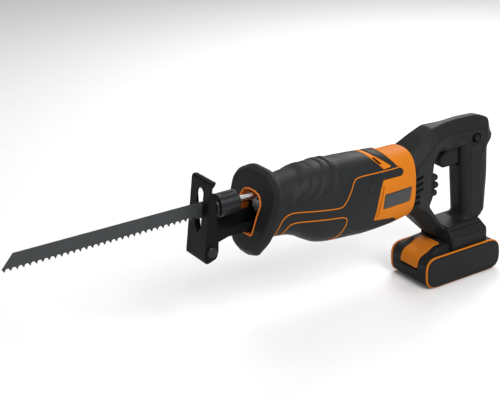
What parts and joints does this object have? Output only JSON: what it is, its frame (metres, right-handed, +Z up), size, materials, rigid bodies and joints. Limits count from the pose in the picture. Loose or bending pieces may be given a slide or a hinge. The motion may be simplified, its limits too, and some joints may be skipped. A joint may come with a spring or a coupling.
{
  "type": "reciprocating saw",
  "caption": "Cordless reciprocating saw with a straight toothed blade, tilting shoe, oval front guard, moulded body, D handle and slide-on battery.",
  "frame": {"origin": "on the plunger axis where the blade shank enters the clamp, plunger at mid stroke", "axes": "+X rearwards along the plunger towards the handle, -Y the user's left side, +Z up; the blade points along -X with its teeth down"},
  "size_m": [0.6616, 0.1014, 0.2139],
  "materials": {
    "blade_steel": "matt dark phosphate coat",
    "dark_steel": "satin black oxide",
    "bright_steel": "ground",
    "spring_steel": "oiled",
    "gear_steel": "machined",
    "bronze": "sintered bronze",
    "cast_alloy": "die cast",
    "orange_plastic": "fine satin texture",
    "trim_orange": "satin",
    "black_rubber": "soft matt",
    "black_plastic": "fine spark texture",
    "badge_black": "semi gloss",
    "shoe_paint": "satin black",
    "copper": "enamelled copper",
    "magnet": "ferrite",
    "lamination": "stacked laminations",
    "can_steel": "zinc plated",
    "nylon": "moulded",
    "carbon": "pressed carbon",
    "wire_red": "sheath",
    "contact_metal": "plated",
    "cell_wrap": "shrink wrap",
    "seal_rubber": "nitrile"
  },
  "bodies": {
    "housing": {"gear_bearings": "bright_steel", "gearbox_housing": "cast_alloy", "gearbox_cover": "cast_alloy", "front_bushing": "bronze", "rear_bushing": "bronze", "rod_seal": "seal_rubber", "motor_front_bearing": "bright_steel", "motor_rear_bearing": "bright_steel", "motor_can": "can_steel", "motor_magnets": "magnet", "carbon_brushes": "carbon", "brush_holders": "contact_metal", "motor_end_bell": "nylon", "motor_housing_left": "orange_plastic", "motor_housing_right": "orange_plastic", "front_grip_left": "black_rubber", "front_grip_right": "black_rubber", "front_guard": "black_rubber", "guard_trim_ring": "trim_orange", "badge_plate_left": "badge_black", "badge_plate_right": "badge_black", "handle_left": "black_plastic", "handle_right": "black_plastic", "handle_overmould": "black_rubber", "housing_screws": "dark_steel", "trigger_spring": "spring_steel", "switch_body": "nylon", "shoe_carrier": "shoe_paint", "shoe_rivet": "dark_steel", "shoe_spacers": "dark_steel", "switch_leads": "wire_red", "terminal_block": "nylon", "terminal_blades": "contact_metal"},
    "plunger": {"plunger_rod": "bright_steel", "plunger_yoke": "gear_steel", "clamp_hub": "dark_steel", "clamp_spring": "spring_steel"},
    "clamp_collar": {"clamp_collar": "dark_steel"},
    "lock_pin": {"clamp_lock_pin": "bright_steel"},
    "blade": {"blade": "blade_steel"},
    "slider": {"slider_block": "bronze"},
    "crank": {"crank_gear": "gear_steel", "crank_pin": "bright_steel", "gear_shaft": "bright_steel"},
    "rotor": {"rotor_core": "lamination", "rotor_windings": "copper", "commutator": "copper", "motor_shaft": "bright_steel", "motor_pinion": "gear_steel", "cooling_fan": "nylon"},
    "shoe": {"shoe_plate": "shoe_paint"},
    "trigger": {"trigger": "black_plastic"},
    "lock_button": {"lock_button": "black_plastic"},
    "battery": {"pack_case_lower": "black_plastic", "pack_case_upper": "black_plastic", "pack_side_caps": "black_plastic", "pack_trim_bands": "orange_plastic", "pack_cells": "cell_wrap", "latch_spring": "spring_steel"},
    "pack_latch": {"pack_latch": "orange_plastic"}
  },
  "joints": [
    {"name": "plunger_stroke", "type": "slide", "parent": "housing", "child": "plunger", "axis": [1, 0, 0], "range_m": [-0.014, 0.014]},
    {"name": "collar_twist", "type": "hinge", "parent": "plunger", "child": "clamp_collar", "pos_m": [0.0085, 0, 0], "axis": [1, 0, 0], "range_deg": [0, 60], "stiffness_Nm_per_rad": 0.15},
    {"name": "lock_pin_lift", "type": "slide", "parent": "plunger", "child": "lock_pin", "axis": [0, -1, 0], "range_m": [0, 0.00147]},
    {"name": "blade_out", "type": "slide", "parent": "plunger", "child": "blade", "axis": [-1, 0, 0], "range_m": [0, 0.026]},
    {"name": "slider_cross", "type": "slide", "parent": "plunger", "child": "slider", "axis": [0, 1, 0], "range_m": [-0.028, 0]},
    {"name": "crank_spin", "type": "hinge", "parent": "housing", "child": "crank", "pos_m": [0.134, 0, -0.03], "axis": [0, 0, 1], "continuous": true},
    {"name": "rotor_spin", "type": "hinge", "parent": "housing", "child": "rotor", "pos_m": [0.2, 0, -0.034], "axis": [1, 0, 0], "continuous": true},
    {"name": "shoe_tilt", "type": "hinge", "parent": "housing", "child": "shoe", "pos_m": [-0.0248, 0, -0.0438], "axis": [0, 1, 0], "range_deg": [-35, 0]},
    {"name": "trigger_pull", "type": "slide", "parent": "housing", "child": "trigger", "axis": [1, 0, 0], "range_m": [0, 0.007], "stiffness_N_per_m": 300, "springref_m": -0.01, "deforming": ["trigger_spring"]},
    {"name": "lock_button_push", "type": "slide", "parent": "housing", "child": "lock_button", "axis": [0, 1, 0], "range_m": [-0.0025, 0.0025], "stiffness_N_per_m": 250},
    {"name": "battery_slide", "type": "slide", "parent": "housing", "child": "battery", "axis": [-1, 0, 0], "range_m": [0, 0.11]},
    {"name": "latch_press", "type": "slide", "parent": "battery", "child": "pack_latch", "axis": [0.5, 0, -0.866], "range_m": [0, 0.002], "stiffness_N_per_m": 400, "springref_m": -0.004, "deforming": ["latch_spring"]}
  ],
  "couplings": [
    {"joint": "lock_pin_lift", "follows": "collar_twist", "m_per_rad": 0.0014},
    {"joint": "rotor_spin", "follows": "crank_spin", "ratio": -3.4}
  ]
}
